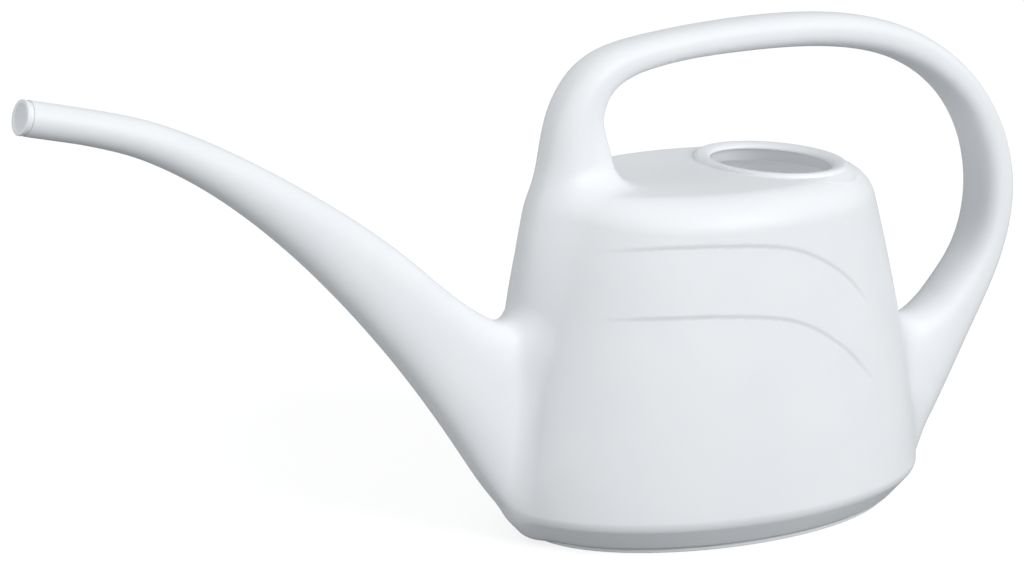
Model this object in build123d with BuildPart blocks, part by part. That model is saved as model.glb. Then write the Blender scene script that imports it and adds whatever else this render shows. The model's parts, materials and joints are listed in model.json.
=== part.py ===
from build123d import *

import os
from math import cos, radians, sin

# Long-spouted blow-moulded watering can, about 2.5 litres.
#
# Millimetres, +Z up.  The origin is the middle of the base on the resting surface,
# the spout points along -X, the rear of the handle along +X, and Y = 0 is the
# mirror plane that every piece shares.

# ---------------------------------------------------------------- driving dimensions
wall = 1.6

# foot and sloping skirt, as half lengths (X) and half widths (Y)
foot_half_length = 88.7
foot_half_width = 56.0
foot_height = 1.6
foot_ring_width = 9.5
floor_top = 4.0
floor_inset = 3.0
skirt_inset_length = 91.2
skirt_inset_width = 57.4
skirt_top = 14.0
widest_half_length = 103.5
widest_half_width = 67.5

# the side wall leans in more and more towards the deck
length_lean = 0.0288
length_lean_power = 1.416
width_lean = 0.0041
width_lean_power = 1.55
front_shift = 6.0
deck_height = 152.6
shoulder_radius_length = 11.0
shoulder_radius_width = 14.0

# filler opening, behind the middle of the deck
collar_x = 31.0
collar_bottom = 146.3
collar_top = 154.4
collar_foot_half_length = 27.5
collar_foot_half_width = 37.0
collar_rim_half_length = 30.0
collar_rim_half_width = 39.5
collar_band = 5.6

# spout outlet: a straight round end that a sprinkler rose pushes over
outlet_x = -325.5
outlet_z = 209.6
outlet_rise = 13.6
outlet_radius = 7.15
outlet_bore = 5.5
outlet_straight = 26.0
lip_length = 2.2
groove_width = 1.4
groove_radius = 6.6

# spout stations from its straight end to its tall root: X, Z, half height, half width
spout_stations = [
    (-288.3, 200.2, 7.3, 7.3),
    (-276.5, 196.4, 7.6, 7.6),
    (-265.0, 191.6, 8.0, 7.9),
    (-216.5, 162.7, 11.1, 9.3),
    (-166.5, 121.3, 16.5, 11.0),
    (-124.0, 80.2, 24.4, 12.0),
    (-99.4, 60.5, 34.0, 12.0),
    (-73.0, 40.0, 42.0, 12.0),
    (-50.0, 22.0, 46.0, 12.0),
]
spout_foot = 2.6

# handle stations from its front riser, over the grip, to its rear root:
# X, Z, half thickness, half width
handle_stations = [
    (-88.5, 84.0, 16.0, 12.0),
    (-82.7, 108.0, 17.0, 12.2),
    (-77.5, 133.0, 18.0, 12.5),
    (-72.0, 160.0, 17.0, 12.8),
    (-71.8, 181.5, 11.7, 12.0),
    (-63.8, 196.5, 8.6, 11.5),
    (-35.0, 207.5, 6.9, 11.0),
    (8.0, 210.3, 7.0, 11.0),
    (59.4, 208.4, 7.4, 11.0),
    (104.9, 196.6, 7.5, 11.5),
    (141.2, 167.4, 7.5, 12.5),
    (154.9, 126.5, 7.9, 13.2),
    (148.5, 98.0, 8.3, 13.5),
    (130.5, 68.5, 11.8, 14.0),
    (106.0, 37.0, 17.8, 14.5),
    (86.0, 14.0, 23.0, 15.0),
]
handle_foot = 12.0
handle_corner = 0.8


# ---------------------------------------------------------------- shared outlines
def wall_shift(z):
    """How far the middle of the tank stands in front of the foot's middle at height z."""
    return front_shift * sin(radians(90 * (z - skirt_top) / (deck_height - skirt_top)))


def wall_half_length(z):
    """Half length of the tank at height z, before the shoulder rounds it."""
    lean = length_lean * (z - skirt_top) ** length_lean_power
    return widest_half_length - lean + wall_shift(z)


def wall_half_width(z):
    """Half width of the tank at height z, before the shoulder rounds it."""
    return widest_half_width - width_lean * (z - skirt_top) ** width_lean_power


def tank_sections(inset):
    """Ellipses (z, shift, half length, half width) of the tank, moved inwards by inset."""
    sections = []
    wall_start = skirt_top
    wall_end = deck_height - shoulder_radius_width
    wall_steps = 5
    for step in range(wall_steps):
        z = wall_start + (wall_end - wall_start) * step / wall_steps
        sections.append((z, wall_shift(z), wall_half_length(z) - inset, wall_half_width(z) - inset))
    for angle in (0, 25, 45, 60, 75, 90):
        rise = sin(radians(angle))
        fall_in = 1 - cos(radians(angle))
        z = wall_end + (shoulder_radius_width - inset) * rise
        half_length = wall_half_length(z) - inset - (shoulder_radius_length - inset) * fall_in
        half_width = wall_half_width(z) - inset - (shoulder_radius_width - inset) * fall_in
        sections.append((z, wall_shift(z), half_length, half_width))
    return sections


def smooth_run(stations):
    """Add one station halfway along each span, on a smooth curve through its neighbours."""
    run = []
    last = len(stations) - 1
    for i in range(last):
        before = stations[max(i - 1, 0)]
        after = stations[min(i + 2, last)]
        start = stations[i]
        end = stations[i + 1]
        middle = []
        for outer_a, inner_a, inner_b, outer_b in zip(before, start, end, after):
            middle.append((9 * (inner_a + inner_b) - outer_a - outer_b) / 16)
        run.append(start)
        run.append(tuple(middle))
    run.append(stations[last])
    return run


def travel_directions(stations):
    """Direction in the XZ plane at each station, from the stations beside it."""
    directions = []
    for i in range(len(stations)):
        before = stations[max(i - 1, 0)]
        after = stations[min(i + 1, len(stations) - 1)]
        directions.append(Vector(after[0] - before[0], 0, after[1] - before[1]).normalized())
    return directions


def crosswise_plane(x, z, direction):
    """Plane across the travel direction, its local X in the mirror plane."""
    in_plane_normal = direction.cross(Vector(0, 1, 0))
    return Plane(origin=(x, 0, z), x_dir=in_plane_normal, z_dir=direction)


outlet_direction = Vector(-cos(radians(outlet_rise)), 0, sin(radians(outlet_rise)))
outlet_point = Vector(outlet_x, 0, outlet_z)
outlet_plane = Plane(origin=outlet_point, x_dir=(0, 1, 0), z_dir=-outlet_direction)
straight_end = outlet_point - outlet_direction * outlet_straight


# ---------------------------------------------------------------- solid outer forms
with BuildPart() as tank_form:
    with BuildSketch(Plane.XY.offset(foot_height)):
        Ellipse(skirt_inset_length, skirt_inset_width)
    with BuildSketch(Plane.XY.offset(skirt_top)):
        Ellipse(widest_half_length, widest_half_width)
    loft(ruled=True)
    for z, shift, half_length, half_width in tank_sections(0):
        with BuildSketch(Plane((-shift, 0, z))):
            Ellipse(half_length, half_width)
    loft()

with BuildPart() as tank_space:
    with BuildSketch(Plane.XY.offset(foot_height)):
        Ellipse(skirt_inset_length - wall, skirt_inset_width - wall)
    with BuildSketch(Plane.XY.offset(skirt_top)):
        Ellipse(widest_half_length - wall, widest_half_width - wall)
    loft(ruled=True)
    for z, shift, half_length, half_width in tank_sections(wall):
        with BuildSketch(Plane((-shift, 0, z))):
            Ellipse(half_length, half_width)
    loft()


def spout_solid(inset):
    """Curved body of the spout, from its straight end on into the tank."""
    first = (straight_end.X, straight_end.Z, outlet_radius, outlet_radius)
    stations = smooth_run([first] + spout_stations)
    directions = travel_directions(stations)
    directions[0] = -outlet_direction
    with BuildPart() as body:
        for station, direction in zip(stations, directions):
            x, z, half_height, half_width = station
            with BuildSketch(crosswise_plane(x, z, direction)):
                Ellipse(half_height - inset, half_width - inset)
        loft()
        split(bisect_by=Plane.XY.offset(spout_foot + inset), keep=Keep.TOP)
    return body.part


def handle_solid(inset):
    """Whole loop of the handle, both ends inside the tank."""
    stations = smooth_run(handle_stations)
    with BuildPart() as body:
        for station, direction in zip(stations, travel_directions(stations)):
            x, z, half_thickness, half_width = station
            corner = handle_corner * min(half_thickness, half_width) - inset
            with BuildSketch(crosswise_plane(x, z, direction)):
                RectangleRounded(2 * (half_thickness - inset), 2 * (half_width - inset), corner)
        loft()
        split(bisect_by=Plane.XY.offset(handle_foot + inset), keep=Keep.TOP)
    return body.part


spout_form = spout_solid(0)
spout_passage = spout_solid(outlet_radius - outlet_bore)
handle_form = handle_solid(0)
handle_passage = handle_solid(wall)

with BuildPart() as collar_form:
    with BuildSketch(Plane.XY.offset(collar_bottom)):
        with Locations((collar_x, 0)):
            Ellipse(collar_foot_half_length, collar_foot_half_width)
    with BuildSketch(Plane.XY.offset(collar_top)):
        with Locations((collar_x, 0)):
            Ellipse(collar_rim_half_length, collar_rim_half_width)
    loft(ruled=True)


# ---------------------------------------------------------------- pieces
os.makedirs("parts", exist_ok=True)

# Base pan: a foot ring under a raised floor, closing the tank from below.
with BuildPart() as base_pan:
    with BuildSketch(Plane.XY):
        Ellipse(foot_half_length, foot_half_width)
    extrude(amount=foot_height)
    with BuildSketch(Plane.XY.offset(foot_height)):
        Ellipse(foot_half_length - floor_inset, foot_half_width - floor_inset)
    extrude(amount=floor_top - foot_height)
    with BuildSketch(Plane.XY):
        Ellipse(foot_half_length - foot_ring_width, foot_half_width - foot_ring_width)
    extrude(amount=floor_top - wall, mode=Mode.SUBTRACT)
base_pan.part.label = "base_pan"
export_step(base_pan.part, "parts/base_pan.step")

# Tank shell: skirt, side wall, shoulder and deck, open to the spout, handle and filler.
with BuildPart() as tank_shell:
    add(tank_form.part)
    add(tank_space.part, mode=Mode.SUBTRACT)
    add(spout_passage, mode=Mode.SUBTRACT)
    add(handle_passage, mode=Mode.SUBTRACT)
    add(collar_form.part, mode=Mode.SUBTRACT)
tank_shell.part.label = "tank_shell"
export_step(tank_shell.part, "parts/tank_shell.step")

# Filler collar: the flared band around the oval filling hole.
with BuildPart() as filler_collar:
    add(collar_form.part)
    with BuildSketch(Plane.XY.offset(collar_bottom)):
        with Locations((collar_x, 0)):
            Ellipse(collar_foot_half_length - collar_band, collar_foot_half_width - collar_band)
    with BuildSketch(Plane.XY.offset(collar_top)):
        with Locations((collar_x, 0)):
            Ellipse(collar_rim_half_length - collar_band, collar_rim_half_width - collar_band)
    loft(ruled=True, mode=Mode.SUBTRACT)
filler_collar.part.label = "filler_collar"
export_step(filler_collar.part, "parts/filler_collar.step")

# Spout: a straight round end that runs into a curved, widening tube with a tall root.
with BuildPart() as spout:
    add(spout_form)
    with BuildSketch(outlet_plane.offset(lip_length + groove_width)):
        Circle(outlet_radius)
    extrude(amount=outlet_straight - lip_length - groove_width)
    add(spout_passage, mode=Mode.SUBTRACT)
    with BuildSketch(outlet_plane):
        Circle(outlet_bore)
    extrude(amount=outlet_straight, mode=Mode.SUBTRACT)
    add(tank_form.part, mode=Mode.SUBTRACT)
    add(handle_passage, mode=Mode.SUBTRACT)
spout.part.label = "spout"
export_step(spout.part, "parts/spout.step")

# Spout lip: the end ring with the snap groove behind it.
with BuildPart() as spout_lip:
    with BuildSketch(outlet_plane):
        Circle(outlet_radius)
    extrude(amount=lip_length)
    with BuildSketch(outlet_plane.offset(lip_length)):
        Circle(groove_radius)
    extrude(amount=groove_width)
    with BuildSketch(outlet_plane):
        Circle(outlet_bore)
    extrude(amount=lip_length + groove_width, mode=Mode.SUBTRACT)
spout_lip.part.label = "spout_lip"
export_step(spout_lip.part, "parts/spout_lip.step")

# Handle: hollow loop from the front riser over the grip down to the rear root.
with BuildPart() as handle:
    add(handle_form)
    add(handle_passage, mode=Mode.SUBTRACT)
    add(tank_form.part, mode=Mode.SUBTRACT)
    add(spout_form, mode=Mode.SUBTRACT)
handle.part.label = "handle"
export_step(handle.part, "parts/handle.step")
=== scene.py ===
import json
import math

import bmesh
import bpy
import numpy as np
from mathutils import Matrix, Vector


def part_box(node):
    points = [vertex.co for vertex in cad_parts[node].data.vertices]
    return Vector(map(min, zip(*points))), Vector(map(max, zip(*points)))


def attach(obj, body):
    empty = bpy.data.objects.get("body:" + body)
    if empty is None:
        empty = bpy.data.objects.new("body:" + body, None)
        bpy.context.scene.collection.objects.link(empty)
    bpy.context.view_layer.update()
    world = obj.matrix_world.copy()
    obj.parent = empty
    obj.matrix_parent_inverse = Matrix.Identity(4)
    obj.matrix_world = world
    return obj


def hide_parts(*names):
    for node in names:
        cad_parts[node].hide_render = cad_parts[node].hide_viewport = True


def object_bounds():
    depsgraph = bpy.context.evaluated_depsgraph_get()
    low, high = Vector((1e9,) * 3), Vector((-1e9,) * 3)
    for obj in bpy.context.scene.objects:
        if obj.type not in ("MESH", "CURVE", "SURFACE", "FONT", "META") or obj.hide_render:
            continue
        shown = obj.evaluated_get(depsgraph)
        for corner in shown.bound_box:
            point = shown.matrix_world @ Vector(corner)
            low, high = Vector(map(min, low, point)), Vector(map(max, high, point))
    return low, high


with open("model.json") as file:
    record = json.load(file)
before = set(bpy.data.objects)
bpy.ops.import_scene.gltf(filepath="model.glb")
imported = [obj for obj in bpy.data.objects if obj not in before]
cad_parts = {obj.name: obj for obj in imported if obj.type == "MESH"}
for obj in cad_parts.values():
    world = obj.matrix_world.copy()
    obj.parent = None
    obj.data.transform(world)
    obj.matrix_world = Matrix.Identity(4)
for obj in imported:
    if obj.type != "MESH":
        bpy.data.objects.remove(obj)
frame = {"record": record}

cad_low, cad_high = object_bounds()

# ------------------------------------------------------------------ sizes from the frame
tank_low, tank_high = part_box("tank_shell")
collar_low, collar_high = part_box("filler_collar")
_, base_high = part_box("base_pan")

DECK = tank_high.z
FOOT_TOP = tank_low.z
FOOT_LENGTH = base_high.x
FOOT_WIDTH = base_high.y
COLLAR_X = (collar_low.x + collar_high.x) / 2
COLLAR_LENGTH = (collar_high.x - collar_low.x) / 2
COLLAR_WIDTH = collar_high.y
COLLAR_TOP = collar_high.z

# the outlet mount is the straight round end of the spout behind its groove, and the
# mount's place is the middle of that end
outlet_mount = next(m for m in frame["record"]["mounts"] if m["name"] == "spout_outlet")
OUTLET_AXIS = Vector(outlet_mount["axis"])
OUTLET_RADIUS = outlet_mount["dims"]["r_mm"] / 1000
mount_length = outlet_mount["dims"]["length_mm"] / 1000
LIP_AND_GROOVE = 0.0036
PAST_OUTLET = 0.006
STRAIGHT_LENGTH = LIP_AND_GROOVE + mount_length
OUTLET = Vector(outlet_mount["pos_m"]) + OUTLET_AXIS * (LIP_AND_GROOVE + mount_length / 2)

# ------------------------------------------------------------------ sizes of the forms
WALL = 0.0016

# tank: half sizes where it is widest, at the top of the sloping skirt, and at its foot
WIDEST_LENGTH = 0.1035
WIDEST_WIDTH = 0.0675
SKIRT_TOP = 0.014
SKIRT_INSET_LENGTH = 0.0912
SKIRT_INSET_WIDTH = 0.0574
SKIRT_STEEPNESS = 0.75

# how far the wall draws in at 1 mm above the skirt, and the power that this grows with;
# and how much further forward the front end stands at the deck
LENGTH_DRAW, LENGTH_POWER = 0.0288e-3, 1.416
WIDTH_DRAW, WIDTH_POWER = 0.0041e-3, 1.55
FRONT_SHIFT = 0.0060

# rounding of the tank's edges; the shoulder changes from front to rear over a stretch of
# X, and towards the sides over a stretch of sideways share (0 at the ends, 1 at the sides)
SKIRT_ROUNDING = 0.0017
FOOT_ROUNDING = 0.002
FRONT_SHOULDER = 0.009
REAR_SHOULDER = 0.0135
SIDE_SHOULDER = 0.014
SHOULDER_CHANGE = (-0.03, 0.05)
SIDE_CHANGE = (0.2, 0.9)
SIDE_SQUEEZE = 0.65

# hollows where the forms meet, with the heights over which two of them grow
SPOUT_BLEND = 0.0065
SPOUT_TOP_BLEND = 0.012
SPOUT_BLEND_CHANGE = (0.07, 0.095)
RISER_BLEND = 0.012
ROOT_BLEND = 0.014
CROTCH_BLEND = 0.034
ROOT_BLEND_CHANGE = (0.045, 0.08)

# spout from its straight end to its root in the tank:
# X, Z, half height, half width, squareness of the section (2 is an ellipse)
SPOUT = [
    (-0.2883, 0.2002, 0.0073, 0.0073, 2.0),
    (-0.2765, 0.1964, 0.0076, 0.0076, 2.0),
    (-0.2650, 0.1916, 0.0080, 0.0079, 2.0),
    (-0.2165, 0.1627, 0.0111, 0.0093, 2.1),
    (-0.1665, 0.1213, 0.0165, 0.0110, 2.4),
    (-0.1240, 0.0802, 0.0244, 0.0120, 2.8),
    (-0.0994, 0.0612, 0.0349, 0.0112, 3.0),
    (-0.0730, 0.0400, 0.0420, 0.0100, 3.0),
    (-0.0500, 0.0220, 0.0460, 0.0100, 3.0),
]

# handle from its front riser to its rear root: X, Z, half thickness, half width, squareness
HANDLE = [
    (-0.0780, 0.0440, 0.0080, 0.0035, 2.1),
    (-0.0850, 0.0640, 0.0130, 0.0060, 2.1),
    (-0.0865, 0.0840, 0.0160, 0.0090, 2.1),
    (-0.0820, 0.1080, 0.0170, 0.0112, 2.2),
    (-0.0775, 0.1330, 0.0180, 0.0120, 2.3),
    (-0.0720, 0.1600, 0.0170, 0.0128, 2.5),
    (-0.0718, 0.1815, 0.0117, 0.0120, 2.5),
    (-0.0640, 0.1967, 0.0089, 0.0115, 2.5),
    (-0.0350, 0.2075, 0.0069, 0.0110, 2.5),
    (0.0080, 0.2103, 0.0070, 0.0110, 2.5),
    (0.0594, 0.2084, 0.0074, 0.0110, 2.4),
    (0.1049, 0.1966, 0.0075, 0.0115, 2.5),
    (0.1412, 0.1674, 0.0075, 0.0125, 2.6),
    (0.1549, 0.1265, 0.0079, 0.0132, 2.7),
    (0.1485, 0.0980, 0.0085, 0.0135, 2.6),
    (0.1292, 0.0694, 0.0134, 0.0138, 2.5),
    (0.1060, 0.0370, 0.0178, 0.0142, 2.5),
    (0.0860, 0.0140, 0.0230, 0.0145, 2.5),
]

# the two moulded lines that sweep round each side of the tank, X and Z: the wall is set
# back a little below each of them
LEDGES = [
    [
        (-0.0800, 0.1318),
        (-0.0636, 0.1336),
        (-0.0449, 0.1340),
        (-0.0278, 0.1332),
        (-0.0112, 0.1313),
        (0.0018, 0.1281),
        (0.0191, 0.1198),
        (0.0319, 0.1110),
        (0.0429, 0.0998),
        (0.0494, 0.0905),
    ],
    [
        (-0.0820, 0.1039),
        (-0.0655, 0.1047),
        (-0.0462, 0.1047),
        (-0.0244, 0.1030),
        (-0.0073, 0.1000),
        (0.0061, 0.0953),
        (0.0205, 0.0868),
        (0.0331, 0.0771),
        (0.0419, 0.0683),
        (0.0507, 0.0601),
    ],
]
LEDGE_DEPTH = 0.0006
LEDGE_WIDTH = 0.0022
LEDGE_FALL = 0.022
LEDGE_FADE = 0.022
LEDGE_OVERRUN = 0.01
LEDGE_LOWEST = 0.02
LEDGE_BELOW_DECK = 0.01
LEDGE_SIDE = (0.006, 0.02)

# filler collar: flare out of the deck, rim and neck, with the neck's insets from the rim's
# inner edge
FLARE_SIDE = 0.0045
FLARE_END = 0.0022
FLARE_OVERLAP = 0.0003
RIM_HALF = 0.0017
COLLAR_BAND = 0.0070
RIM_FALL = 0.0022
LIP_RADIUS = 0.0006
NECK_GAP = 0.0003
NECK_TOP_INSET = 0.0010
NECK_FOOT_INSET = 0.0044
COLLAR_DEPTH = 0.0085
HOLE_REACH = 0.009

# spout lip, with the distances behind the outlet of the groove's front edge, the start and
# the end of its floor, and its rear edge
LIP_LENGTH = 0.0044
LIP_WALL = 0.00165
GROOVE_DEPTH = 0.00055
GROOVE = (0.0012, 0.0014, 0.0026, 0.0029)

# base: the foot ring, the raised floor inside it, and the pinched seam along the floor
RING_WIDTH = 0.0095
RING_SLOPE = 0.0012
RECESS = 0.0024
DOME = 0.0008
FLOOR_INSET = 0.003
UPSTAND_INSET = 0.0032
TANK_OVERLAP = 0.0002
SEAM_HALF_WIDTH = 0.0009
SEAM_CREST_HALF_WIDTH = 0.0005
SEAM_SUNK = 0.0003
SEAM_HEIGHT = 0.0006
SEAM_FADE = 0.006
SEAM_END_SHARE = 0.15
SEAM_SHORT = 0.001


# ------------------------------------------------------------------ camera
CAMERA_AZIMUTH = -32.5
CAMERA_ELEVATION = 13.76
CAMERA_DISTANCE = 1.5
CAMERA_LENS = 125.56
AIM_SHARE = (0.4575, 0.5, 0.531)


def add_aimed(name, data, aim, azimuth, elevation, distance):
    """Camera or light that looks at aim from the given side (0 is from -Y, 90 from +X)."""
    azimuth, elevation = math.radians(azimuth), math.radians(elevation)
    level = math.cos(elevation)
    back = Vector((math.sin(azimuth) * level, -math.cos(azimuth) * level, math.sin(elevation)))
    made = bpy.data.objects.new(name, data)
    made.location = aim + back * distance
    made.rotation_mode = "QUATERNION"
    made.rotation_quaternion = (-back).to_track_quat("-Z", "Y")
    bpy.context.scene.collection.objects.link(made)
    return made


def make_camera():
    """Long lens, a little above the can and in front of its near side."""
    aim = Vector([cad_low[i] + (cad_high[i] - cad_low[i]) * AIM_SHARE[i] for i in range(3)])
    data = bpy.data.cameras.new("camera")
    data.lens = CAMERA_LENS
    data.sensor_width = 36.0
    data.clip_end = 50.0
    bpy.context.scene.camera = add_aimed(
        "camera", data, aim, CAMERA_AZIMUTH, CAMERA_ELEVATION, CAMERA_DISTANCE
    )


# ------------------------------------------------------------------ smooth runs
class Run:
    """Natural cubic spline in the X-Z plane: each station is X, Z and any sizes there."""

    SAMPLES = 160
    CHUNK = 20000
    NEWTON_STEPS = 3
    LEAST_RISE = 0.2

    def __init__(self, stations):
        self.station = np.array(stations, float)
        spans = np.hypot(*np.diff(self.station[:, :2], axis=0).T)
        self.reach = np.concatenate([[0.0], np.cumsum(spans)])
        count = len(self.station)
        system = np.eye(count)
        right = np.zeros_like(self.station)
        for i in range(1, count - 1):
            before, after = spans[i - 1], spans[i]
            system[i, i - 1 : i + 2] = before, 2 * (before + after), after
            rise_after = (self.station[i + 1] - self.station[i]) / after
            rise_before = (self.station[i] - self.station[i - 1]) / before
            right[i] = 6 * (rise_after - rise_before)
        self.bend = np.linalg.solve(system, right)
        self.sample_reach = np.linspace(0, self.reach[-1], self.SAMPLES)
        self.sample = self.at(self.sample_reach)[0][:, :2]

    def at(self, reach):
        """Values, first and second derivatives at the given distances along the run."""
        span = np.clip(np.searchsorted(self.reach, reach, side="right") - 1, 0, len(self.reach) - 2)
        length = (self.reach[span + 1] - self.reach[span])[:, None]
        right = (reach - self.reach[span])[:, None] / length
        left = 1 - right
        start, end = self.station[span], self.station[span + 1]
        bend_start, bend_end = self.bend[span], self.bend[span + 1]
        curve = (left**3 - left) * bend_start + (right**3 - right) * bend_end
        value = left * start + right * end + curve * length**2 / 6
        tilt = (1 - 3 * left**2) * bend_start + (3 * right**2 - 1) * bend_end
        first = (end - start) / length + tilt * length / 6
        return value, first, left * bend_start + right * bend_end

    def around(self, x, z):
        """Nearest place on the run: distance along, signed distance across, overrun, sizes."""
        x, z = np.broadcast_arrays(x, z)
        point = np.stack([x.ravel(), z.ravel()], -1)
        reach = np.empty(len(point))
        weight = (self.sample**2).sum(-1)
        for i in range(0, len(point), self.CHUNK):
            part = point[i : i + self.CHUNK]
            nearest = (weight - 2 * part @ self.sample.T).argmin(1)
            reach[i : i + self.CHUNK] = self.sample_reach[nearest]
        for _ in range(self.NEWTON_STEPS):
            value, first, second = self.at(reach)
            away = value[:, :2] - point
            slope = (away * first[:, :2]).sum(-1)
            rise = (first[:, :2] ** 2).sum(-1) + (away * second[:, :2]).sum(-1)
            reach = np.clip(reach - slope / np.maximum(rise, self.LEAST_RISE), 0, self.reach[-1])
        value, first, _ = self.at(reach)
        tangent = first[:, :2] / np.linalg.norm(first[:, :2], axis=1)[:, None]
        away = point - value[:, :2]
        across = away[:, 0] * -tangent[:, 1] + away[:, 1] * tangent[:, 0]
        overrun = np.abs((away * tangent).sum(-1))
        shape = x.shape
        sizes = [value[:, i].reshape(shape) for i in range(2, value.shape[1])]
        return reach.reshape(shape), across.reshape(shape), overrun.reshape(shape), sizes


def straight_end_stations():
    """Round stations from just past the outlet back along the straight end of the spout."""
    stations = []
    for behind in (-PAST_OUTLET, 0.0, STRAIGHT_LENGTH / 2, STRAIGHT_LENGTH):
        place = OUTLET - OUTLET_AXIS * behind
        stations.append((place.x, place.z, OUTLET_RADIUS, OUTLET_RADIUS, 2.0))
    return stations


spout_run = Run(straight_end_stations() + SPOUT)
handle_run = Run(HANDLE)
ledge_runs = [Run(stations) for stations in LEDGES]


# ------------------------------------------------------------------ distance fields
def oval(u, v, half_u, half_v, power=2.0):
    """Distance from a (super)ellipse, true near its outline: negative inside."""
    u = np.abs(u) / half_u + 1e-9
    v = np.abs(v) / half_v + 1e-9
    size = (u**power + v**power) ** (1 / power)
    steep = np.hypot((u / size) ** (power - 1) / half_u, (v / size) ** (power - 1) / half_v)
    return (size - 1) / steep


def round_over(a, b, radius):
    """What is inside both forms, with their common edge rounded over."""
    outside = np.hypot(np.maximum(radius + a, 0), np.maximum(radius + b, 0))
    return np.minimum(-radius, np.maximum(a, b)) + outside


def blend_into(a, b, radius):
    """What is inside either form, with a hollow of that radius where they meet."""
    inside = np.hypot(np.maximum(radius - a, 0), np.maximum(radius - b, 0))
    return np.maximum(radius, np.minimum(a, b)) - inside


def smooth_step(low, high, value):
    """0 below low, 1 above high, with a soft start and end between them."""
    t = np.clip((value - low) / (high - low), 0, 1)
    return t * t * (3 - 2 * t)


def ledge_setback(x, y, z):
    """How far the side wall is set back below the two moulded lines."""
    setback = np.zeros(x.shape)
    near = (np.abs(y) > LEDGE_SIDE[0]) & (np.abs(x) < WIDEST_LENGTH)
    near &= (z > LEDGE_LOWEST) & (z < DECK - LEDGE_BELOW_DECK)
    x, z, side = x[near], z[near], np.abs(y[near])
    for run in ledge_runs:
        reach, across, overrun, _ = run.around(x, z)
        below = smooth_step(LEDGE_WIDTH / 2, -LEDGE_WIDTH / 2, across)
        fall = np.exp(-((np.maximum(-across, 0) / LEDGE_FALL) ** 1.5))
        ends = smooth_step(-0.25, 1.0, reach / LEDGE_FADE)
        ends = ends * smooth_step(0, 1, (run.reach[-1] - reach) / LEDGE_FADE)
        past = np.exp(-((overrun / LEDGE_OVERRUN) ** 2))
        setback[near] += LEDGE_DEPTH * below * fall * ends * past * smooth_step(*LEDGE_SIDE, side)
    return setback


def tank_field(x, y, z):
    """The tank: sloping skirt, side wall that draws in upwards, rounded shoulder, flat deck."""
    above = np.maximum(z - SKIRT_TOP, 0)
    half_length = WIDEST_LENGTH - LENGTH_DRAW * (above * 1000) ** LENGTH_POWER
    half_width = WIDEST_WIDTH - WIDTH_DRAW * (above * 1000) ** WIDTH_POWER
    shift = FRONT_SHIFT * np.sin(math.pi / 2 * above / (DECK - SKIRT_TOP))
    side = oval(x + shift, y, half_length + shift, half_width)
    climb = (z - FOOT_TOP) / (SKIRT_TOP - FOOT_TOP)
    skirt_length = SKIRT_INSET_LENGTH + (WIDEST_LENGTH - SKIRT_INSET_LENGTH) * climb
    skirt_width = SKIRT_INSET_WIDTH + (WIDEST_WIDTH - SKIRT_INSET_WIDTH) * climb
    skirt = oval(x, y, np.maximum(skirt_length, 0.01), np.maximum(skirt_width, 0.01))
    body = round_over(side, skirt * SKIRT_STEEPNESS, SKIRT_ROUNDING)
    rearwards = smooth_step(*SHOULDER_CHANGE, x)
    sideways = np.abs(y) / np.hypot(x * SIDE_SQUEEZE, y + 1e-9)
    shoulder = FRONT_SHOULDER + (REAR_SHOULDER - FRONT_SHOULDER) * rearwards
    shoulder = shoulder + (SIDE_SHOULDER - shoulder) * smooth_step(*SIDE_CHANGE, sideways)
    return round_over(body, z - DECK, shoulder)


def tube_field(run, x, y, z):
    """Tube along a run whose stations carry half thickness, half width and squareness."""
    reach, across, overrun, (half_thick, half_wide, power) = run.around(x, z)
    ends = np.maximum(-reach, reach - run.reach[-1]) + overrun
    return np.maximum(oval(across, y, half_thick, half_wide, power), ends)


def forms(x, y, z):
    """Fields of the tank, the spout and the handle, each on its own."""
    tank = tank_field(x, y, z)
    spout = tube_field(spout_run, x, y, z)
    handle = tube_field(handle_run, x, y, z)
    return tank, spout, handle


def skin(x, y, z, ledges=True):
    """The common outer skin of tank, spout and handle."""
    tank, spout, handle = forms(x, y, z)
    if ledges:
        tank = tank + ledge_setback(x, y, z)
    root_blend = ROOT_BLEND + (CROTCH_BLEND - ROOT_BLEND) * smooth_step(*ROOT_BLEND_CHANGE, z)
    handle_blend = np.where(x < 0, RISER_BLEND, root_blend)
    spout_growth = smooth_step(*SPOUT_BLEND_CHANGE, z)
    spout_blend = SPOUT_BLEND + (SPOUT_TOP_BLEND - SPOUT_BLEND) * spout_growth
    body = blend_into(tank, spout, spout_blend)
    body = blend_into(body, handle, handle_blend)
    return round_over(body, FOOT_TOP - z, FOOT_ROUNDING)


def plain_skin(x, y, z):
    """The skin without the set-back below the moulded lines."""
    return skin(x, y, z, ledges=False)


# ------------------------------------------------------------------ meshing the skin
CELL = 0.0019
LONGEST_STEP = 0.001
LEAST_SLOPE_SQUARED = 0.05
RELAX_SHARE = 0.6
HOLE_OVERLAP = 0.0015
FOOT_CUT = 0.0012

# where the skin needs finer faces: up to just above the skirt, and beside the ledge lines
FINE_ABOVE_SKIRT = 0.004
FINE_LENGTH = 0.13
FINE_ACROSS = 0.0045
FINE_OVERRUN = 0.004
FINE_SIDE = 0.012


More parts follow.
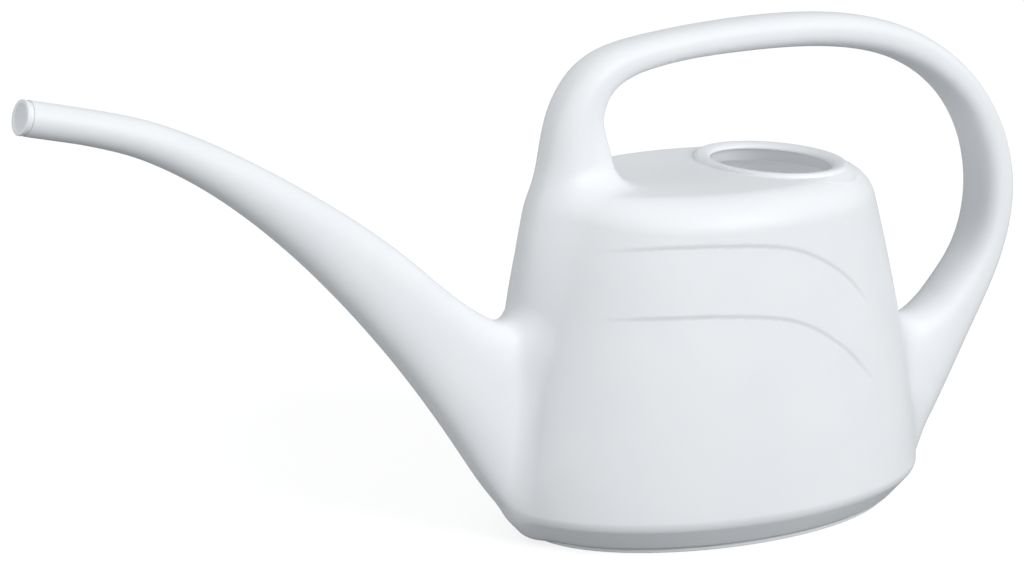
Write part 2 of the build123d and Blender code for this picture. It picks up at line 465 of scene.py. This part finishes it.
def surface_net(field, low, high, step):
    """Quads over the zero surface of a field, one point in each cell that it crosses."""
    count = [int(math.ceil((high[i] - low[i]) / step)) + 1 for i in range(3)]
    axis = [low[i] + step * np.arange(count[i]) for i in range(3)]
    value = field(axis[0][:, None, None], axis[1][None, :, None], axis[2][None, None, :])
    inside = value < 0
    cells = [n - 1 for n in count]
    corners = [np.array((i, j, k)) for i in (0, 1) for j in (0, 1) for k in (0, 1)]
    filled = np.zeros(cells, int)
    for i, j, k in corners:
        filled += inside[i : i + cells[0], j : j + cells[1], k : k + cells[2]]
    cell = np.argwhere((filled > 0) & (filled < 8))
    index = np.full(cells, -1)
    index[tuple(cell.T)] = np.arange(len(cell))
    total = np.zeros((len(cell), 3))
    hits = np.zeros(len(cell))
    for corner in corners:
        for k in range(3):
            if corner[k]:
                continue
            step_on = np.eye(3, dtype=int)[k]
            a = value[tuple((cell + corner).T)]
            b = value[tuple((cell + corner + step_on).T)]
            crosses = (a < 0) != (b < 0)
            share = np.where(crosses, a / np.where(crosses, a - b, 1), 0)
            place = cell + corner + share[:, None] * step_on
            total += place * crosses[:, None]
            hits += crosses
    points = total / hits[:, None] * step + np.array(low)
    quads = []
    for k in range(3):
        u, v = np.eye(3, dtype=int)[(k + 1) % 3], np.eye(3, dtype=int)[(k + 2) % 3]
        here = np.delete(inside, -1, axis=k)
        there = np.delete(inside, 0, axis=k)
        edge = np.argwhere(here != there)
        limit = np.array(cells)
        inner = np.all((edge >= u + v) & (edge < limit), axis=1)
        edge = edge[inner]
        ring = [index[tuple((edge - back).T)] for back in (u + v, v, 0 * u, u)]
        ring = np.stack(ring, -1)
        outward = inside[tuple(edge.T)]
        quads.append(np.where(outward[:, None], ring, ring[:, ::-1]))
    return points, np.concatenate(quads)


def slope_of(field, points, gap=2e-5):
    """Gradient of the field at each point."""
    slope = np.empty_like(points)
    for k in range(3):
        step = np.zeros(3)
        step[k] = gap
        slope[:, k] = field(*(points + step).T) - field(*(points - step).T)
    return slope / (2 * gap)


def settling(field, points, gap=1e-5):
    """Step that takes each point onto the zero surface, and the surface's direction there."""
    value = field(*points.T)
    slope = np.empty_like(points)
    for k in range(3):
        beside = points.copy()
        beside[:, k] += gap
        slope[:, k] = (field(*beside.T) - value) / gap
    away = value / np.maximum((slope**2).sum(-1), LEAST_SLOPE_SQUARED)
    away = np.clip(away, -LONGEST_STEP, LONGEST_STEP)
    return -slope * away[:, None], slope / np.linalg.norm(slope, axis=1)[:, None]


def settle(points, field, rounds=1):
    """Moves the points straight onto the zero surface of the field."""
    for _ in range(rounds):
        points = points + settling(field, points)[0]
    return points


def relax(points, quads, field, rounds=3):
    """Evens out the quads, along the surface."""
    pairs = np.concatenate([quads[:, [i, (i + 1) % 4]] for i in range(4)])
    neighbours = np.bincount(pairs[:, 0], minlength=len(points))
    for _ in range(rounds):
        mean = np.stack(
            [np.bincount(pairs[:, 0], points[pairs[:, 1], k], len(points)) for k in range(3)], -1
        )
        mean /= np.maximum(neighbours, 1)[:, None]
        onto, outward = settling(field, points)
        step = (mean - points) * RELAX_SHARE
        step -= outward * (step * outward).sum(-1)[:, None]
        points = points + step + onto
    return points


def mesh_points(bm):
    """Places of all vertices, as an array."""
    return np.array([v.co for v in bm.verts], float).reshape(-1, 3)


def refine(bm, near):
    """Divides the faces whose middle the test picks, once."""
    middle = np.array([f.calc_center_median() for f in bm.faces])
    picked = near(middle)
    edges = {e for f, wanted in zip(bm.faces, picked) if wanted for e in f.edges}
    bmesh.ops.subdivide_edges(bm, edges=list(edges), cuts=1, use_grid_fill=True)


def cut(bm, value_of, snap=0.22):
    """Cuts the faces along the zero line of value_of and returns the value at each vertex.

    A vertex within the snap share of an edge from the line moves onto it instead.
    """
    bm.verts.ensure_lookup_table()
    value = dict(zip(bm.verts, value_of(*mesh_points(bm).T)))
    for edge in bm.edges:
        a, b = edge.verts
        if value[a] * value[b] >= 0:
            continue
        share = value[a] / (value[a] - value[b])
        if share < snap:
            a.co = a.co.lerp(b.co, share)
            value[a] = 0.0
        elif share > 1 - snap:
            b.co = a.co.lerp(b.co, share)
            value[b] = 0.0
    for edge in [e for e in bm.edges if value[e.verts[0]] * value[e.verts[1]] < 0]:
        a, b = edge.verts
        share = value[a] / (value[a] - value[b])
        _, made = bmesh.utils.edge_split(edge, a, share)
        value[made] = 0.0
    crossed = [
        f
        for f in bm.faces
        if min(value[v] for v in f.verts) < 0 < max(value[v] for v in f.verts)
    ]
    for face in crossed:
        on_line = [v for v in face.verts if value[v] == 0.0]
        if len(on_line) == 2:
            bmesh.utils.face_split(face, *on_line)
    return value


def face_value(face, value):
    return sum(value[v] for v in face.verts)


def filler_hole(x, y, z):
    """Negative inside the hole in the deck that the collar fills."""
    hole = oval(x - COLLAR_X, y, COLLAR_LENGTH + FLARE_END, COLLAR_WIDTH + FLARE_SIDE)
    return np.maximum(hole, np.abs(z - DECK) - HOLE_REACH)


def foot_hole(x, y, z):
    """Negative over the part of the underside that the base covers."""
    under = oval(x, y, FOOT_LENGTH - HOLE_OVERLAP, FOOT_WIDTH - HOLE_OVERLAP)
    return np.maximum(under, z - FOOT_TOP - FOOT_CUT)


def beyond_spout(x, y, z):
    """Negative in front of the cut end of the spout, where the lip begins."""
    along = (x - OUTLET.x) * OUTLET_AXIS.x + (z - OUTLET.z) * OUTLET_AXIS.z
    return -LIP_LENGTH - along


def make_skin():
    """The common skin as a bmesh whose faces carry the number of their piece."""
    margin = 3 * CELL
    low = [c - margin for c in cad_low]
    high = [c + margin for c in cad_high]
    low[2] = FOOT_TOP - margin
    points, quads = surface_net(plain_skin, low, high, CELL)
    points = relax(settle(points, plain_skin), quads, plain_skin)
    points = settle(points, plain_skin)
    mesh = bpy.data.meshes.new("skin")
    mesh.from_pydata(points.tolist(), [], quads.tolist())
    bm = bmesh.new()
    bm.from_mesh(mesh)
    bpy.data.meshes.remove(mesh)

    def detailed(middle):
        x, y, z = middle.T
        near = (z < SKIRT_TOP + FINE_ABOVE_SKIRT) & (np.abs(x) < FINE_LENGTH)
        for run in ledge_runs:
            _, across, overrun, _ = run.around(x, z)
            beside = (np.abs(across) < FINE_ACROSS) & (overrun < FINE_OVERRUN)
            near |= beside & (np.abs(y) > FINE_SIDE)
        return near

    refine(bm, detailed)
    put_points(bm, settle(mesh_points(bm), skin))
    for hole in (filler_hole, foot_hole, beyond_spout):
        value = cut(bm, hole)
        gone = [f for f in bm.faces if face_value(f, value) < 0]
        bmesh.ops.delete(bm, geom=gone, context="FACES")
    number = bm.faces.layers.int.new("piece")

    def spout_side(x, y, z):
        tank, spout, handle = forms(x, y, z)
        return np.minimum(tank, handle) - spout

    def handle_side(x, y, z):
        tank, spout, handle = forms(x, y, z)
        return np.minimum(tank, spout) - handle

    for piece, side in ((1, spout_side), (2, handle_side)):
        value = cut(bm, side)
        for face in bm.faces:
            if face_value(face, value) > 0:
                face[number] = piece
    return bm


def put_points(bm, points):
    """Moves all vertices to the given places."""
    for vert, point in zip(bm.verts, points):
        vert.co = point


# ------------------------------------------------------------------ objects
def add_object(name, mesh, node):
    """Puts a finished mesh in the scene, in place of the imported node."""
    mesh.materials.append(white_plastic)
    made = bpy.data.objects.new(name, mesh)
    bpy.context.scene.collection.objects.link(made)
    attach(made, "root")
    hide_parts(node)


def mark_inside(mesh, vertices):
    """Note which points lie on the inner side, which the material gives a painted glow for the
    light that comes through the wall.
    """
    inside = mesh.attributes.new("inside", "FLOAT", "POINT")
    for i in vertices:
        inside.data[i].value = 1.0


def shell_object(name, node, points, normals, faces):
    """Closed shell of the wall thickness under the given outer faces."""
    used = sorted({v for face in faces for v in face})
    place = {v: i for i, v in enumerate(used)}
    outer = points[used]
    outward = normals[used]
    inner = outer - outward * WALL
    count = len(used)
    faces = [[place[v] for v in face] for face in faces]
    directed = {(face[i - 1], face[i]) for face in faces for i in range(len(face))}
    rims = [[b, a, a + count, b + count] for a, b in directed if (b, a) not in directed]
    rims.sort()
    insides = [[v + count for v in reversed(face)] for face in faces]
    mesh = bpy.data.meshes.new(name)
    mesh.from_pydata(np.concatenate([outer, inner]).tolist(), [], faces + insides + rims)
    mesh.polygons.foreach_set("use_smooth", [True] * len(mesh.polygons))
    vertex_normal = np.concatenate([outward, -outward])
    loop_vertex = np.zeros(len(mesh.loops), int)
    mesh.loops.foreach_get("vertex_index", loop_vertex)
    loop_normal = vertex_normal[loop_vertex]
    first_rim = len(faces) + len(insides)
    for polygon in mesh.polygons[first_rim:]:
        loop_normal[list(polygon.loop_indices)] = polygon.normal
    mesh.normals_split_custom_set(loop_normal.tolist())
    mark_inside(mesh, range(count, 2 * count))
    add_object(name, mesh, node)


def rounded(corners, steps=4):
    """Closed outline through corners (u, v, radius), each rounded with an arc."""
    outline = []
    count = len(corners)
    for i in range(count):
        before, here, after = (Vector(corners[(i + k) % count][:2]) for k in (-1, 0, 1))
        radius = corners[i][2]
        if radius == 0:
            outline.append(here)
            continue
        back = (before - here).normalized()
        on = (after - here).normalized()
        half = math.acos(max(-1, min(1, back.dot(on)))) / 2
        reach = radius / math.tan(half)
        middle = here + (back + on).normalized() * radius / math.sin(half)
        start = here + back * reach - middle
        end = here + on * reach - middle
        turn = start.angle_signed(end)
        for k in range(steps + 1):
            angle = -turn * k / steps
            c, s = math.cos(angle), math.sin(angle)
            turned = Vector((start.x * c - start.y * s, start.x * s + start.y * c))
            outline.append(middle + turned)
    return outline


def ring_mesh(name, rings, closed_profile=True):
    """Quads between closed rings of points; a closed profile joins the last to the first."""
    count = len(rings[0])
    points = [p for ring in rings for p in ring]
    faces = []
    last = len(rings) if closed_profile else len(rings) - 1
    for i in range(last):
        j = (i + 1) % len(rings)
        for k in range(count):
            n = (k + 1) % count
            faces.append([i * count + k, i * count + n, j * count + n, j * count + k])
    mesh = bpy.data.meshes.new(name)
    mesh.from_pydata(points, [], faces)
    return mesh


def finish_mesh(mesh, angle=35):
    """Outward normals, smooth but for the real edges."""
    bm = bmesh.new()
    bm.from_mesh(mesh)
    bmesh.ops.remove_doubles(bm, verts=bm.verts, dist=1e-6)
    bmesh.ops.recalc_face_normals(bm, faces=bm.faces)
    bm.to_mesh(mesh)
    bm.free()
    mesh.polygons.foreach_set("use_smooth", [True] * len(mesh.polygons))
    mesh.set_sharp_from_angle(angle=math.radians(angle))


# ------------------------------------------------------------------ pieces
def make_tank_spout_handle():
    """Parts the common skin into its three pieces and gives each of them a wall."""
    bm = make_skin()
    bm.verts.index_update()
    bm.faces.ensure_lookup_table()
    number = bm.faces.layers.int["piece"]
    points = settle(mesh_points(bm), skin)
    normals = slope_of(skin, points)
    normals /= np.linalg.norm(normals, axis=1)[:, None]
    for piece, name in enumerate(("tank_shell", "spout", "handle")):
        faces = [[v.index for v in f.verts] for f in bm.faces if f[number] == piece]
        shell_object(name + "_moulded", name, points, normals, faces)
    bm.free()


def make_collar():
    """Oval filler neck: a flare out of the deck, a rounded rim and an inner wall."""
    turns = 192
    flare_steps, edge_steps, fall_steps = 10, 6, 8
    angle = np.linspace(0, 2 * math.pi, turns, endpoint=False)
    cos, sin = np.cos(angle), np.sin(angle)

    def ring(out, z):
        """Ellipse that far outside the rim's outline, at height z."""
        x = COLLAR_X + (COLLAR_LENGTH + out) * cos
        y = (COLLAR_WIDTH + out) * sin
        return np.stack([x, y, np.broadcast_to(z, x.shape)], -1)

    flare = FLARE_END + (FLARE_SIDE - FLARE_END) * sin**2 + FLARE_OVERLAP
    rim_middle = COLLAR_TOP - RIM_HALF
    rings = []
    for i in range(flare_steps + 1):
        share = i / flare_steps
        out = flare * (1 - share)
        base = settle(ring(out, DECK), plain_skin, 4)[:, 2]
        rise = 1 - math.cos(share * math.pi / 2)
        rings.append(ring(out, base + (rim_middle - base) * rise))
    for i in range(1, edge_steps + 1):
        turn = math.pi / 2 * i / edge_steps
        out = RIM_HALF * (math.cos(turn) - 1)
        rings.append(ring(out, rim_middle + RIM_HALF * math.sin(turn)))
    for i in range(1, fall_steps + 1):
        turn = math.pi / 2 * i / fall_steps
        inwards = RIM_HALF + (COLLAR_BAND - RIM_HALF) * math.sin(turn)
        rings.append(ring(-inwards, COLLAR_TOP - RIM_FALL * (1 - math.cos(turn))))
    for turn in (30, 60, 90):
        back, down = 1 - math.cos(math.radians(turn)), math.sin(math.radians(turn))
        out = LIP_RADIUS * back - COLLAR_BAND
        rings.append(ring(out, COLLAR_TOP - RIM_FALL - LIP_RADIUS * down))
    neck_top = COLLAR_TOP - RIM_FALL - LIP_RADIUS - NECK_GAP
    bottom = COLLAR_TOP - COLLAR_DEPTH
    for share in (0.0, 0.35, 0.7, 1.0):
        out = NECK_TOP_INSET + (NECK_FOOT_INSET - NECK_TOP_INSET) * share
        rings.append(ring(out - COLLAR_BAND, neck_top + (bottom - neck_top) * share))
    rings.append(ring(NECK_FOOT_INSET + WALL * 0.8 - COLLAR_BAND, bottom))
    rings.append(ring(NECK_FOOT_INSET + WALL - COLLAR_BAND, DECK - 2 * WALL))
    under = settle(ring(flare, DECK), plain_skin, 4)[:, 2] - WALL
    rings.append(ring(flare, under))
    mesh = ring_mesh("filler_collar_moulded", [[tuple(p) for p in r] for r in rings])
    finish_mesh(mesh, 50)
    add_object("filler_collar_moulded", mesh, "filler_collar")


def make_lip():
    """Rolled end ring of the spout, and the snap groove behind it."""
    turns = 72
    bore = OUTLET_RADIUS - LIP_WALL
    groove = OUTLET_RADIUS - GROOVE_DEPTH
    profile = rounded(
        [
            (0.0, bore, 0.0002),
            (0.0, OUTLET_RADIUS, 0.0004),
            (GROOVE[0], OUTLET_RADIUS, 0.0004),
            (GROOVE[1], groove, 0.0001),
            (GROOVE[2], groove, 0.0001),
            (GROOVE[3], OUTLET_RADIUS, 0.0002),
            (LIP_LENGTH, OUTLET_RADIUS, 0),
            (LIP_LENGTH, bore, 0),
        ]
    )
    side = Vector((0, 1, 0))
    up = OUTLET_AXIS.cross(side).normalized()
    rings = []
    for behind, radius in profile:
        centre = OUTLET - OUTLET_AXIS * behind
        ring = []
        for k in range(turns):
            turn = 2 * math.pi * k / turns
            ring.append(tuple(centre + (side * math.cos(turn) + up * math.sin(turn)) * radius))
        rings.append(ring)
    mesh = ring_mesh("spout_lip_moulded", rings)
    bore_rings = [i for i, (_, radius) in enumerate(profile) if radius < bore + 0.0001]
    mark_inside(mesh, [i * turns + k for i in bore_rings for k in range(turns)])
    finish_mesh(mesh)
    add_object("spout_lip_moulded", mesh, "spout_lip")


def make_base():
    """Foot ring, recessed and slightly domed floor, and the pinched seam across it."""
    turns = 192
    floor_steps = 14
    floor_top = base_high.z
    ring_top = FOOT_TOP + TANK_OVERLAP
    profile = rounded(
        [
            (-RING_WIDTH - RING_SLOPE, RECESS, 0.0008),
            (-RING_WIDTH, 0.0, 0.0008),
            (0.0, 0.0, 0.0007),
            (0.0, ring_top, 0.0),
            (-UPSTAND_INSET, ring_top, 0.0),
            (-UPSTAND_INSET, floor_top, 0.0006),
        ]
    )
    angle = np.linspace(0, 2 * math.pi, turns, endpoint=False)
    cos, sin = np.cos(angle), np.sin(angle)

    def ring(half_length, half_width, z):
        return [(half_length * c, half_width * s, z) for c, s in zip(cos, sin)]

    inner_length = FOOT_LENGTH - RING_WIDTH - FLOOR_INSET
    inner_width = FOOT_WIDTH - RING_WIDTH - FLOOR_INSET

    def domed(height):
        """Rings of a slightly domed floor, from its middle outwards."""
        shares = [i / floor_steps for i in range(1, floor_steps + 1)]
        return [
            ring(inner_length * s, inner_width * s, height + DOME * (1 - s * s)) for s in shares
        ]

    rings = domed(RECESS)
    rings += [ring(FOOT_LENGTH + out, FOOT_WIDTH + out, z) for out, z in profile]
    rings += reversed(domed(floor_top))
    mesh = ring_mesh("base_pan_moulded", rings, closed_profile=False)
    bm = bmesh.new()
    bm.from_mesh(mesh)
    bm.verts.ensure_lookup_table()
    bmesh.ops.contextual_create(bm, geom=bm.verts[:turns])
    bmesh.ops.contextual_create(bm, geom=bm.verts[-turns:])
    seam_half = inner_length - SEAM_SHORT
    sections = 33
    previous = None
    for i in range(sections):
        x = -seam_half + 2 * seam_half * i / (sections - 1)
        height = RECESS + DOME * (1 - (x / inner_length) ** 2)
        crest = -SEAM_HEIGHT * min(1, (seam_half - abs(x)) / SEAM_FADE + SEAM_END_SHARE)
        outline = [
            (-SEAM_HALF_WIDTH, SEAM_SUNK),
            (-SEAM_CREST_HALF_WIDTH, crest),
            (SEAM_CREST_HALF_WIDTH, crest),
            (SEAM_HALF_WIDTH, SEAM_SUNK),
        ]
        row = [bm.verts.new((x, y, height + z)) for y, z in outline]
        if previous:
            for k in range(4):
                n = (k + 1) % 4
                bm.faces.new((previous[k], previous[n], row[n], row[k]))
        else:
            bm.faces.new(row)
        previous = row
    bm.faces.new(list(reversed(previous)))
    bm.to_mesh(mesh)
    bm.free()
    finish_mesh(mesh)
    add_object("base_pan_moulded", mesh, "base_pan")


# ------------------------------------------------------------------ material
DARKER_WHITE = (0.815, 0.84, 0.868, 1)
LIGHTER_WHITE = (0.835, 0.858, 0.884, 1)
# painted glow of the inner side: emission in place of the light that comes through the thin wall
PAINTED_GLOW_COLOUR = (1.0, 0.98, 0.95, 1)
PAINTED_GLOW_STRENGTH = 0.115
MOTTLE_SCALE = 28
GRAIN_SCALE = 900
SCUFF_SCALE = 60
SCUFF_ROUGHNESS = 0.10
PARTING_HALF_WIDTH = 0.0005
PARTING_HEIGHT = 0.00006
GRAIN_HEIGHT = 0.000012
MOTTLE_HEIGHT = 0.00002
SCUFF_DEPTH = 0.00001


def set_range(node, from_low, from_high, to_low, to_high):
    """The four limits of a Map Range node."""
    node.inputs["From Min"].default_value = from_low
    node.inputs["From Max"].default_value = from_high
    node.inputs["To Min"].default_value = to_low
    node.inputs["To Max"].default_value = to_high


def make_white_plastic():
    """Satin moulded polyethylene: faint mottling, fine grain, scuffs and a parting line.

    The inner side has a faint painted glow: emission that stands in for the daylight that comes
    through the thin wall.
    """
    material = bpy.data.materials.new("white_polyethylene")
    material.use_nodes = True
    nodes, links = material.node_tree.nodes, material.node_tree.links
    shader = nodes["Principled BSDF"]
    shader.inputs["IOR"].default_value = 1.5
    shader.inputs["Specular IOR Level"].default_value = 0.45
    place = nodes.new("ShaderNodeTexCoord").outputs["Object"]

    def noise(scale, detail, squeeze=None, roughness=0.5):
        node = nodes.new("ShaderNodeTexNoise")
        node.inputs["Scale"].default_value = scale
        node.inputs["Detail"].default_value = detail
        node.inputs["Roughness"].default_value = roughness
        source = place
        if squeeze:
            mapping = nodes.new("ShaderNodeMapping")
            mapping.inputs["Scale"].default_value = squeeze
            links.new(place, mapping.inputs["Vector"])
            source = mapping.outputs["Vector"]
        links.new(source, node.inputs["Vector"])
        return node.outputs["Fac"]

    def spread(value, low, high, out_low, out_high):
        node = nodes.new("ShaderNodeMapRange")
        node.interpolation_type = "SMOOTHSTEP"
        set_range(node, low, high, out_low, out_high)
        links.new(value, node.inputs["Value"])
        return node.outputs["Result"]

    def combine(kind, a, b):
        node = nodes.new("ShaderNodeMath")
        node.operation = kind
        for socket, value in zip(node.inputs, (a, b)):
            if isinstance(value, float):
                socket.default_value = value
            else:
                links.new(value, socket)
        return node.outputs["Value"]

    mottle = noise(MOTTLE_SCALE, 3)
    grain = noise(GRAIN_SCALE, 2)
    scuffs = spread(noise(SCUFF_SCALE, 4, (0.12, 1.0, 4.0), 0.62), 0.68, 0.78, 0.0, 1.0)
    colour = nodes.new("ShaderNodeMix")
    colour.data_type = "RGBA"
    colour.inputs["A"].default_value = DARKER_WHITE
    colour.inputs["B"].default_value = LIGHTER_WHITE
    links.new(spread(mottle, 0.3, 0.7, 0.0, 1.0), colour.inputs["Factor"])
    links.new(colour.outputs["Result"], shader.inputs["Base Color"])
    gloss = spread(mottle, 0.3, 0.7, 0.46, 0.49)
    gloss = combine("ADD", gloss, spread(grain, 0.3, 0.7, -0.02, 0.02))
    gloss = combine("ADD", gloss, combine("MULTIPLY", scuffs, SCUFF_ROUGHNESS))
    links.new(gloss, shader.inputs["Roughness"])

    split = nodes.new("ShaderNodeSeparateXYZ")
    links.new(place, split.inputs["Vector"])
    off_plane = combine("ABSOLUTE", split.outputs["Y"], 0.0)
    parting = spread(off_plane, 0.0, PARTING_HALF_WIDTH, 1.0, 0.0)
    height = combine("MULTIPLY", grain, GRAIN_HEIGHT)
    height = combine("ADD", height, combine("MULTIPLY", mottle, MOTTLE_HEIGHT))
    height = combine("ADD", height, combine("MULTIPLY", scuffs, -SCUFF_DEPTH))
    height = combine("ADD", height, combine("MULTIPLY", parting, PARTING_HEIGHT))
    # painted glow: emission on the points marked inside stands in for light through the wall
    inside = nodes.new("ShaderNodeAttribute")
    inside.attribute_name = "inside"
    painted_glow = combine("MULTIPLY", inside.outputs["Fac"], PAINTED_GLOW_STRENGTH)
    shader.inputs["Emission Color"].default_value = PAINTED_GLOW_COLOUR
    links.new(painted_glow, shader.inputs["Emission Strength"])
    bump = nodes.new("ShaderNodeBump")
    bump.inputs["Strength"].default_value = 1.0
    bump.inputs["Distance"].default_value = 1.0
    links.new(height, bump.inputs["Height"])
    links.new(bump.outputs["Normal"], shader.inputs["Normal"])
    return material


# ------------------------------------------------------------------ studio
LIGHT_DISTANCE = 5.0
KEY_AZIMUTH, KEY_ELEVATION = 14, 28
KEY_SIZE, KEY_POWER = 3.0, 168
FILL_AZIMUTH, FILL_ELEVATION = -100, 4
FILL_SIZE, FILL_POWER = 3.5, 105
AMBIENT_ABOVE = 0.55
AMBIENT_BELOW = 0.25
AMBIENT_CHANGE = 0.3
SEEN_SURROUND = (0.93, 0.94, 0.95, 1)
FLOOR_RADIUS = 12
FLOOR_COLOUR = (0.29, 0.295, 0.3, 1)
FLOOR_BACKLIGHT = 0.8


def make_area(name, azimuth, elevation, size, power):
    """Round soft light that looks at the middle of the can."""
    data = bpy.data.lights.new(name, "AREA")
    data.shape = "DISK"
    data.size = size
    data.energy = power
    add_aimed(name, data, (cad_low + cad_high) / 2, azimuth, elevation, LIGHT_DISTANCE)


def make_studio():
    """Two soft lights, a pale surrounding, and a floor that only the camera sees as bright."""
    scene = bpy.context.scene
    scene.view_settings.view_transform = "Standard"
    scene.view_settings.look = "None"
    make_area("key_light", KEY_AZIMUTH, KEY_ELEVATION, KEY_SIZE, KEY_POWER)
    make_area("fill_light", FILL_AZIMUTH, FILL_ELEVATION, FILL_SIZE, FILL_POWER)

    world = bpy.data.worlds.new("studio")
    scene.world = world
    world.use_nodes = True
    nodes, links = world.node_tree.nodes, world.node_tree.links
    ambient = nodes["Background"]
    seen = nodes.new("ShaderNodeBackground")
    seen.inputs["Color"].default_value = SEEN_SURROUND
    place = nodes.new("ShaderNodeTexCoord")
    split = nodes.new("ShaderNodeSeparateXYZ")
    links.new(place.outputs["Generated"], split.inputs["Vector"])
    ramp = nodes.new("ShaderNodeMapRange")
    set_range(ramp, -AMBIENT_CHANGE, AMBIENT_CHANGE, AMBIENT_BELOW, AMBIENT_ABOVE)
    links.new(split.outputs["Z"], ramp.inputs["Value"])
    links.new(ramp.outputs["Result"], ambient.inputs["Color"])
    mix = nodes.new("ShaderNodeMixShader")
    links.new(nodes.new("ShaderNodeLightPath").outputs["Is Camera Ray"], mix.inputs["Fac"])
    links.new(ambient.outputs["Background"], mix.inputs[1])
    links.new(seen.outputs["Background"], mix.inputs[2])
    links.new(mix.outputs["Shader"], nodes["World Output"].inputs["Surface"])

    bpy.ops.mesh.primitive_circle_add(
        vertices=128, radius=FLOOR_RADIUS, fill_type="NGON", location=(0, 0, 0)
    )
    floor = bpy.context.active_object
    floor.name = "floor"
    material = bpy.data.materials.new("pale_floor")
    material.use_nodes = True
    nodes, links = material.node_tree.nodes, material.node_tree.links
    shader = nodes["Principled BSDF"]
    shader.inputs["Base Color"].default_value = FLOOR_COLOUR
    shader.inputs["Roughness"].default_value = 0.9
    shader.inputs["Specular IOR Level"].default_value = 0.1
    shader.inputs["Emission Color"].default_value = (1, 1, 1, 1)
    backlight = nodes.new("ShaderNodeMath")
    backlight.operation = "MULTIPLY"
    backlight.inputs[1].default_value = FLOOR_BACKLIGHT
    links.new(nodes.new("ShaderNodeLightPath").outputs["Is Camera Ray"], backlight.inputs[0])
    links.new(backlight.outputs["Value"], shader.inputs["Emission Strength"])
    floor.data.materials.append(material)


# ------------------------------------------------------------------ the scene
make_camera()
white_plastic = make_white_plastic()
make_tank_spout_handle()
make_collar()
make_lip()
make_base()
make_studio()
